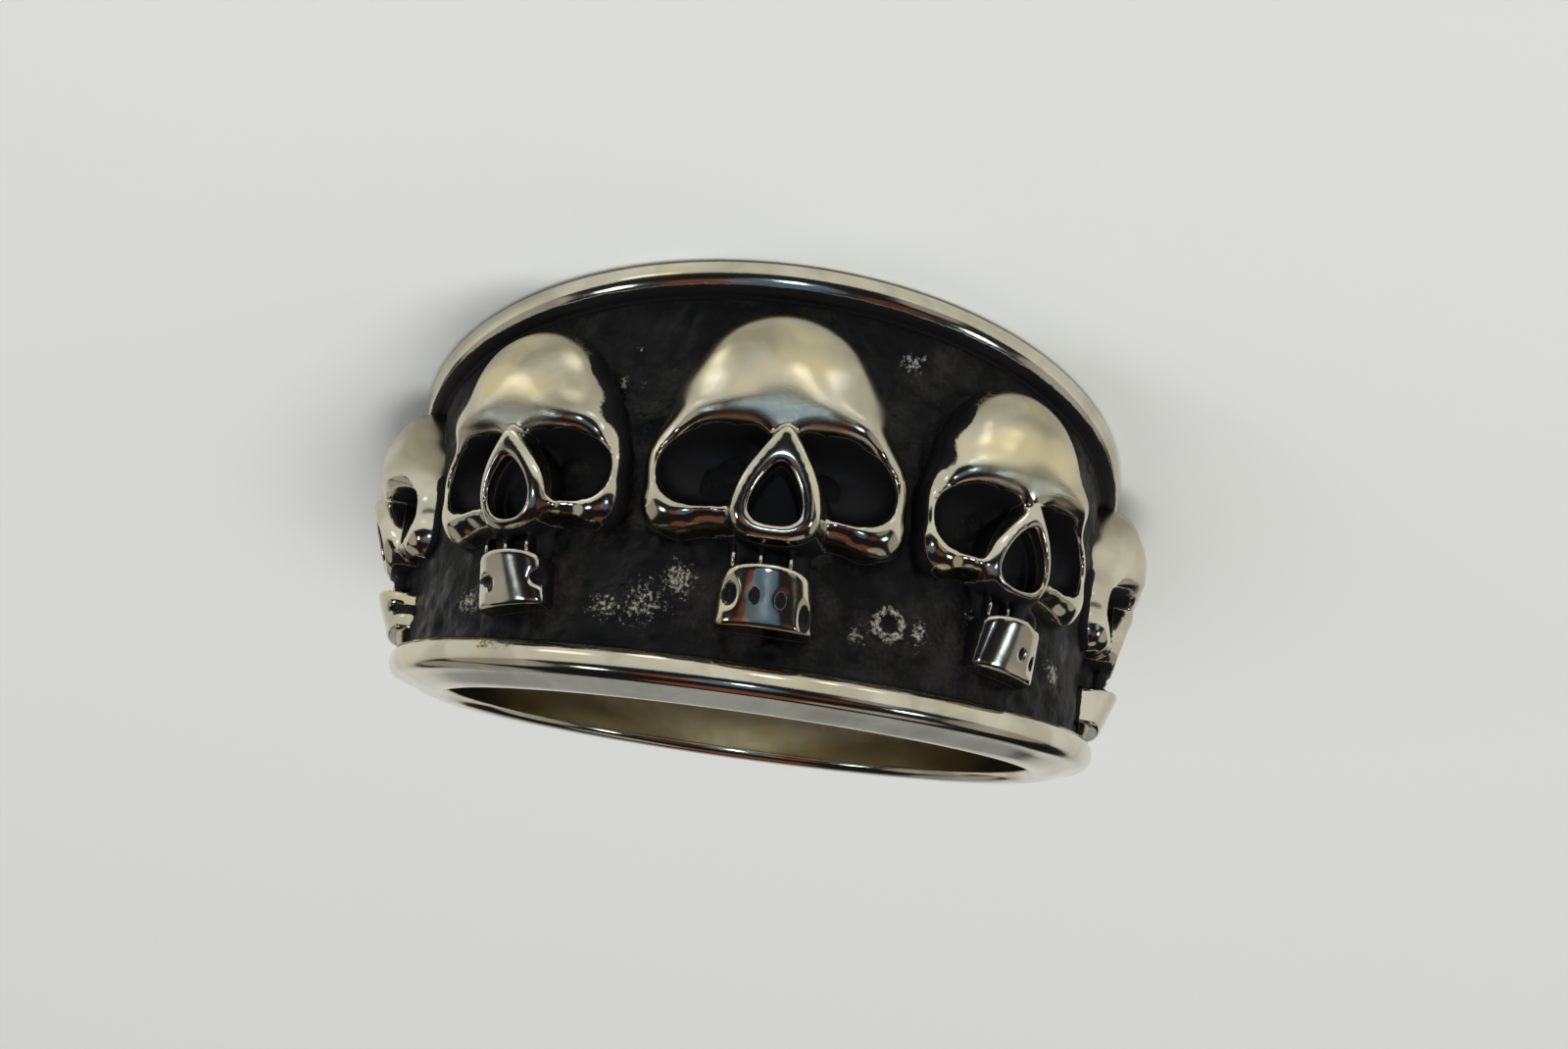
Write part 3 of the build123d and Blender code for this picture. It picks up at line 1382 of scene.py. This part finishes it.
    def trim(self, piece: bpy.types.Object) -> bpy.types.Object:
        """Cut off what lies deep in the band and close the cut.

        Args:
            piece: The skull.

        Returns:
            The same skull.
        """
        Bench.pick(piece)
        bpy.ops.object.mode_set(mode="EDIT")
        bpy.ops.mesh.select_all(action="SELECT")
        bpy.ops.mesh.bisect(plane_co=(0, -self.root, 0), plane_no=(0, 1, 0), use_fill=True, clear_outer=True)
        bpy.ops.object.mode_set(mode="OBJECT")
        return piece

    def dress(self, piece: bpy.types.Object) -> bpy.types.Object:
        """Write on the skull where its finish changes.

        Args:
            piece: The skull.

        Returns:
            The same skull.
        """
        across, out, up = Bench.places(piece)
        Bench.note(piece, "soot", self.soot(across, out, up))
        Bench.note(piece, "satin", self.polish.satin(across, up))
        # Painted darker reflection, written as a note for the steel's finish.
        Bench.note(piece, "tarnish", self.polish.tarnish(across, up))
        Bench.note(piece, "gold", self.polish.gold(across, up))
        return piece

    def soot(self, across: np.ndarray, out: np.ndarray, up: np.ndarray) -> np.ndarray:
        """Where the patina stays: in the sockets and holes, under the nose and beside the field.

        Args:
            across: The places across.
            out: How far out they are.
            up: The places up.

        Returns:
            A share for each place.
        """
        share = np.maximum(self.hollow_soot(across, out, up), self.foot_soot(across, out, up))
        share = np.maximum(share, self.root_soot(across, out, up))
        fade = self.patina
        for cut in self.face.cuts:
            pit = ease(*fade.cut_edge, cut.away(across, up, fade.cut_margin))
            share = np.maximum(share, fade.cut_share * pit)
        return share

    def hollow_soot(self, across: np.ndarray, out: np.ndarray, up: np.ndarray) -> np.ndarray:
        """The patina in the sockets and in the nose's hole, by their depth.

        Args:
            across: The places across.
            out: How far out they are.
            up: The places up.

        Returns:
            A share for each place.
        """
        face, fade, near = self.face, self.patina, self.hollow_share
        skin = np.max([lump.skin(across, up) for lump in self.lumps.values()], axis=0)
        hollow = np.maximum(self.socket.skin(across * near, up * near), self.corner.skin(across, up * near))
        share = ease(*fade.hollow_depth, skin - out) * (hollow > BESIDE)
        share *= 1 - ease(*fade.nose_edge, self.in_drop(across, up, 0.0)) * ease(*fade.nose_out, out)
        rise = (up - self.nose_middle + self.nose_down) / (self.nose_up + self.nose_down)
        front = face.foot + (face.point - face.foot) * rise
        inside = ease(*fade.hole_edge, self.in_drop(across, up, face.hole * self.hole_share))
        return np.where(inside > 0, inside * ease(*fade.hole_depth, front - out), share)

    def foot_soot(self, across: np.ndarray, out: np.ndarray, up: np.ndarray) -> np.ndarray:
        """The patina on the skull's sides, low over the field.

        Args:
            across: The places across.
            out: How far out they are.
            up: The places up.

        Returns:
            A share for each place.
        """
        fade = self.patina
        cheek = ease(*fade.cheek_up, up) * ease(*fade.cheek_across, np.abs(across))
        edge = fade.foot + fade.cheek_foot * cheek
        return ease(edge + fade.foot, edge - fade.foot, over_field(across, out, self.field_radius))

    def root_soot(self, across: np.ndarray, out: np.ndarray, up: np.ndarray) -> np.ndarray:
        """The patina between the nose and the teeth, rubbed off the ends of the teeth's roots.

        Args:
            across: The places across.
            out: How far out they are.
            up: The places up.

        Returns:
            A share for each place.
        """
        fade = self.patina
        share = ease(*fade.under_top, up) * ease(*fade.under_foot, up) * ease(*fade.under_out, out)
        share *= ease(*fade.under_across, np.abs(across))
        for spot in self.roots:
            worn = ease(*fade.root_across, np.abs(across - spot)) * ease(*fade.root_out, out)
            share *= 1 - worn * ease(*fade.root_up, up)
        return share


@dataclass(frozen=True)
class Place:
    """One skull's place: its cast, angle, size, rise, shift, lean, slant towards -X and which side
    of it is darkened and tilted."""

    name: str
    cast: Cast
    angle: float
    size: float
    rise: float = 0.15
    shift: float = 0.0
    lean: float = 0.0
    slant: float = 0.0
    darkened_side: int = 0


@dataclass
class SkullRow:
    """The five skulls round the crown, copies of one head."""

    band: Band
    places: tuple = (
        Place("skull_middle", Cast.MIDDLE, -2.4, 1.0, 0.12, 0.24, 1.6),
        Place("skull_left", Cast.LEFT, -43.8, 0.89, 0.12, 0.0, 0.6, -0.16, darkened_side=1),
        Place("skull_right", Cast.RIGHT, 40.8, 0.89, 0.12, -0.05, 3.8, 0.2, darkened_side=-1),
        Place("skull_far_left", Cast.LEFT, -89.0, 0.74, 0.3),
        Place("skull_far_right", Cast.RIGHT, 88.0, 0.74, 0.3),
    )
    tilt: float = 0.06
    sunk_radius: float = 10.25
    side_across: tuple = (2.0, 2.6)
    side_foot: tuple = (-3.3, -3.5)
    wall_facing: tuple = (0.6, 0.3)
    wall_aside: tuple = (0.1, 0.4)
    bank_over: tuple = (1.9, 0.5)
    bank_across: tuple = (0.7, 2.0)
    bank_up: tuple = (0.8, 1.8)
    bank_share: float = 0.75

    def build(self) -> list:
        """Build a master for each cast and copy it to its places.

        Returns:
            The skulls.
        """
        radius = self.band.field_radius
        head = Skull(field_radius=radius).head()
        masters = {cast: Skull(cast, radius).build(Bench.copy(head)) for cast in Cast}
        made = [self.seat(masters[place.cast], place) for place in self.places]
        Bench.discard(head, *masters.values())
        return made

    def seat(self, master: bpy.types.Object, place: Place) -> bpy.types.Object:
        """Copy a master to its place on the band.

        Args:
            master: The master skull.
            place: The place.

        Returns:
            The skull.
        """
        piece = Bench.copy(master)
        piece.name = place.name
        piece.data.name = place.name
        if place.darkened_side:
            self.darken(piece, place.darkened_side)
        turn, lean = radians(place.angle), tan(radians(place.lean))

        def press(points: np.ndarray) -> np.ndarray:
            """Carry the master from its flat field to its place round the band.

            Args:
                points: Places on the master.

            Returns:
                The places on the skull.
            """
            x, y, z = points.T
            up = z * place.size
            across = (x - place.slant * np.maximum(-y, 0)) * place.size - up * lean + place.shift
            back = y * (1 - self.tilt * place.darkened_side * x) * place.size - self.band.field_radius
            short = np.minimum(np.hypot(across, back) / self.sunk_radius, 1)
            across, back = across / short, back / short
            laid_x = across * cos(turn) - back * sin(turn)
            laid_y = across * sin(turn) + back * cos(turn)
            return np.stack([laid_x, laid_y, up + place.rise], 1)

        return Bench.mould(piece, press)

    def darken(self, piece: bpy.types.Object, side: int) -> None:
        """Darken one side of a skull: its wall where it faces that side, and a bank low over the field.

        Args:
            piece: The skull, still upright on its flat field.
            side: The side, 1 or -1.
        """
        across, out, up = Bench.places(piece)
        layer = piece.data.attributes["soot"].data
        soot = np.zeros(len(up))
        layer.foreach_get("value", soot)
        normals = np.zeros(len(up) * 3)
        piece.data.vertex_normals.foreach_get("vector", normals)
        facing, aside = -normals[1::3], side * normals[::3]
        outer = np.maximum(ease(*self.side_across, side * across), ease(*self.side_foot, up))
        wall = ease(*self.wall_facing, facing) * ease(*self.wall_aside, aside) * outer
        bank = ease(*self.bank_over, over_field(across, out, self.band.field_radius))
        bank *= self.bank_share * ease(*self.bank_across, side * across) * ease(*self.bank_up, up)
        # The darkening is written into the soot note, so the finish shows it as black patina.
        layer.foreach_set("value", np.maximum(soot, np.maximum(wall, bank)))


@dataclass
class Camera:
    """The photograph's view of the upright ring."""

    distance: float = 190.0
    pixels_per_mm: float = 29.85
    below: float = 18.2
    turned: float = 2.5
    roll: float = 7.4
    centre_x: float = 771.6
    centre_y: float = 598.5
    sensor: float = 36.0
    clip_start: float = 0.01
    clip_end: float = 10.0

    def build(self, seat: Matrix) -> None:
        """Add the camera.

        Args:
            seat: The matrix that lays the upright ring down.
        """
        focal = self.pixels_per_mm * self.distance
        toward = (Matrix.Rotation(radians(-self.turned), 4, "Z")
                  @ Matrix.Rotation(radians(self.below), 4, "X")).to_3x3()
        right, ahead, up = (toward @ Vector(axis) for axis in ((1, 0, 0), (0, 1, 0), (0, 0, 1)))
        turn = Matrix.Rotation(-radians(self.roll), 3, ahead)
        right, up = turn @ right, turn @ up
        off_x = (self.centre_x - PICTURE_WIDTH / 2) * self.distance / focal
        off_y = (PICTURE_HEIGHT / 2 - self.centre_y) * self.distance / focal
        pose = Matrix((right, up, -ahead)).transposed().to_4x4()
        pose.translation = -ahead * self.distance - right * off_x - up * off_y
        placed = seat @ pose
        Bench.clear()
        bpy.ops.object.camera_add()
        camera = bpy.context.object
        camera.matrix_world = Matrix.LocRotScale(placed.translation, placed.to_quaternion(), None)
        camera.data.lens = focal * self.sensor / PICTURE_WIDTH
        camera.data.sensor_width = self.sensor
        camera.data.clip_start = self.clip_start
        camera.data.clip_end = self.clip_end
        bpy.context.scene.camera = camera


class Tint(Enum):
    """The colours of the lamps."""

    PAPER = (1.0, 0.995, 0.97)
    SHADE = (0.97, 0.985, 1.0)
    WINDOW = (0.66, 0.84, 1.0)
    SKY = (0.34, 0.62, 1.0)
    GLINT = (0.7, 0.86, 1.0)
    RUST = (1.0, 0.3, 0.15)
    CREAM = (1.0, 0.97, 0.9)
    HAZE = (0.9, 0.95, 1.0)


@dataclass(frozen=True)
class Lamp:
    """A soft disk lamp: where it is seen from the ring, how wide it looks, how bright it is, its
    colour, whether it shows in the steel, and how far away it stands."""

    name: str
    azimuth: float
    elevation: float
    spread: float
    brightness: float
    tint: Tint
    mirrored: bool = True
    distance: float = 0.6

    def build(self, target: Vector) -> None:
        """Add the lamp.

        Args:
            target: What it faces.
        """
        turn, rise = radians(self.azimuth), radians(self.elevation)
        away = Vector((sin(turn) * cos(rise), -cos(turn) * cos(rise), sin(rise)))
        width = 2 * self.distance * tan(radians(self.spread) / 2)
        lamp = light_disk(self.name, target + away * self.distance, width, self.brightness)
        lamp.rotation_euler = (-away).to_track_quat("-Z", "Y").to_euler()
        lamp.data.color = self.tint.value
        lamp.visible_glossy = self.mirrored


@dataclass(frozen=True)
class Card:
    """A small round bounce card lying before the ring: its place and size in millimetres."""

    name: str
    x: float
    y: float
    size: float
    brightness: float
    height: float = 0.3

    def build(self, target: Vector) -> None:
        """Add the card, which glows upwards.

        Args:
            target: The middle of the ring.
        """
        place = Vector((target.x + self.x * MM, target.y + self.y * MM, self.height * MM))
        card = light_disk(self.name, place, self.size * MM, self.brightness)
        card.rotation_euler = (pi, 0, 0)
        card.visible_diffuse = False


@dataclass
class Studio:
    """The pale floor, the lamps and the dim room round them."""

    room: tuple = (0.012, 0.0115, 0.013)
    floor_size: float = 4.0
    lamps: tuple = (
        Lamp("key", -25, 58, 40, 5.6, Tint.PAPER, mirrored=False, distance=0.7),
        Lamp("fill", 50, 66, 60, 1.2, Tint.SHADE, mirrored=False, distance=0.7),
        Lamp("window", 3, 27, 6, 15.0, Tint.WINDOW),
        Lamp("sky", 6, 37, 34, 0.22, Tint.SKY, distance=0.55),
        Lamp("glint_left", 62, 28, 9, 9.0, Tint.GLINT),
        Lamp("glint_right", -62, 28, 9, 9.0, Tint.GLINT),
        Lamp("warm_left", -34, 40, 22, 0.11, Tint.RUST),
        Lamp("warm_right", 34, 40, 24, 0.17, Tint.RUST),
        Lamp("wall_left", -98, 12, 46, 0.36, Tint.CREAM),
        Lamp("wall_right", 98, 12, 46, 0.36, Tint.CREAM),
        Lamp("warm_top", 180, 75, 40, 0.18, Tint.RUST),
        Lamp("far_wall", 180, 16, 40, 0.36, Tint.HAZE),
        Lamp("back_left", 143, 18, 34, 0.34, Tint.CREAM),
        Lamp("high_right", -127, 57, 30, 0.36, Tint.CREAM),
        Lamp("low_right", -40, 9, 22, 0.3, Tint.CREAM),
    )
    cards: tuple = (
        Card("card_front", -1.8, -27.5, 4.2, 3.2),
        Card("card_left", 7.6, -14.2, 3.2, 1.1),
        Card("card_far_left", 19.3, -15.7, 7.0, 0.9),
        Card("card_right", -6.9, -19.2, 2.2, 2.6),
        Card("card_far_right", -10.8, -18.4, 3.0, 1.0),
    )

    def build(self, target: Vector) -> None:
        """Build the studio.

        Args:
            target: The middle of the ring.
        """
        Bench.clear()
        bpy.ops.mesh.primitive_plane_add(size=self.floor_size, location=(0, 0, 0))
        floor = Bench.settle(bpy.context.object)
        floor.name = "floor"
        floor.data.materials.append(FloorFinish().material())
        for light in (*self.lamps, *self.cards):
            light.build(target)
        world = bpy.data.worlds.new("room")
        bpy.context.scene.world = world
        world.use_nodes = True
        backdrop = world.node_tree.nodes["Background"]
        backdrop.inputs[0].default_value = (*self.room, 1)
        backdrop.inputs[1].default_value = 1.0
        bpy.context.scene.view_settings.view_transform = "Standard"


def main() -> None:
    """Build the camera, the studio and the ring's pieces, and report each piece."""
    seat = Seat(frame["record"])
    laid = seat.matrix()
    Camera().build(laid)
    Studio().build(seat.centre)
    band = Band(bore_radius=seat.bore_radius)
    steel, dark = SteelFinish().material(), FieldFinish().material()
    for sub_assembly, finish in ((band, steel), (Field(band), dark), (SkullRow(band), steel)):
        for piece in sub_assembly.build():
            finish_piece(piece, laid, finish)


if __name__ == "__main__":
    logging.basicConfig(level=logging.INFO, format="%(name)s %(message)s")
    main()
